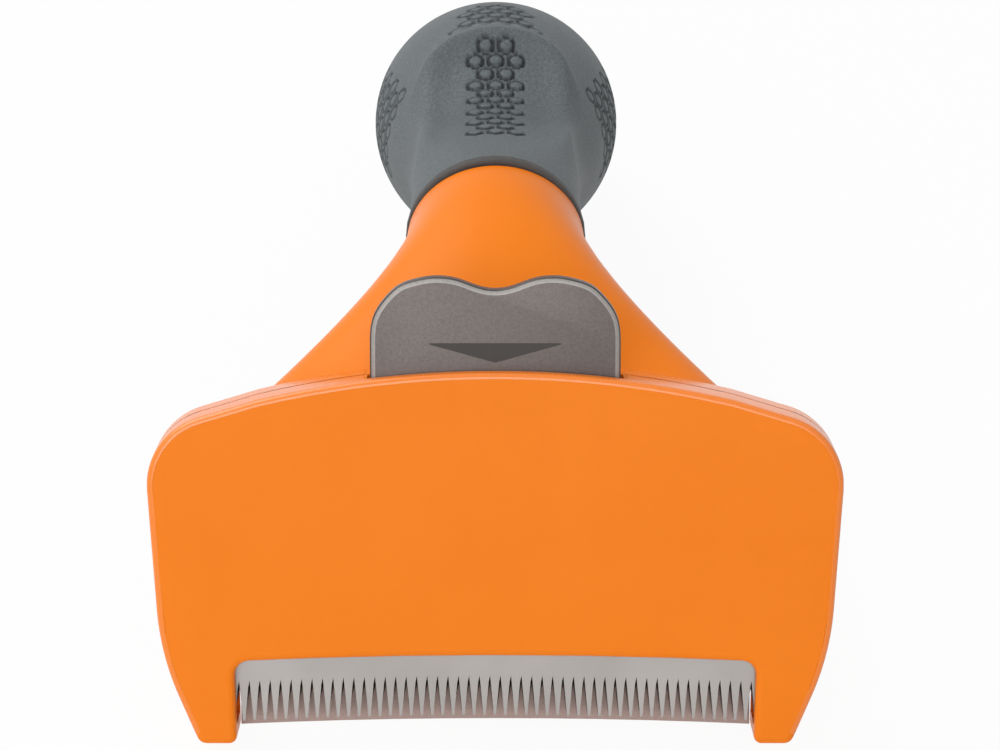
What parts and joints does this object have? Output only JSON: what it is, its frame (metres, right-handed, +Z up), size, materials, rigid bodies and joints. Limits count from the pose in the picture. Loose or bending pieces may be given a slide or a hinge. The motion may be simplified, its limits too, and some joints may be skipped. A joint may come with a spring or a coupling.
{
  "type": "deshedding tool",
  "caption": "Hand-held pet deshedding tool with a toothed steel edge, a spring-returned ejector worked by a thumb button, and a rubber-covered handle.",
  "frame": {"origin": "under the middle of the tool's bounding box, on the surface that it rests on", "axes": "+Y from the toothed head to the end of the handle, +Z up, X across the head; the tool rests on the tips of its two guard feet and the underside of its grip, with its front face up and towards -Y"},
  "size_m": [0.0904, 0.1626, 0.059],
  "materials": {
    "blade": "satin ground",
    "fasteners": "zinc plated",
    "collar_ring": "matte",
    "ejector_button": "satin with a bright rim",
    "ejector_plate": "satin",
    "front_shell": "smooth moulded",
    "grip": "matte, with raised scales",
    "core": "moulded",
    "rear_housing": "smooth moulded"
  },
  "bodies": {
    "casing": {"blade": "blade", "blade_screw_centre": "fasteners", "blade_screw_left": "fasteners", "blade_screw_right": "fasteners", "collar_ring": "collar_ring", "front_shell": "front_shell", "grip_sleeve": "grip", "handle_core": "core", "handle_screw": "fasteners", "rear_housing": "rear_housing", "return_spring_left": "fasteners", "return_spring_right": "fasteners", "shell_screw_lower_left": "fasteners", "shell_screw_lower_right": "fasteners", "shell_screw_upper_left": "fasteners", "shell_screw_upper_right": "fasteners", "spring_pin_left": "fasteners", "spring_pin_right": "fasteners"},
    "ejector": {"ejector_plate": "ejector_plate", "ejector_button": "ejector_button", "button_rivet_left": "fasteners", "button_rivet_right": "fasteners"}
  },
  "joints": [
    {"name": "ejector_slide", "type": "slide", "parent": "casing", "child": "ejector", "axis": [0, -0.4076, -0.9131], "range_m": [0, 0.008], "stiffness_N_per_m": 400, "springref_m": -0.004, "deforming": ["return_spring_left", "return_spring_right"]}
  ]
}
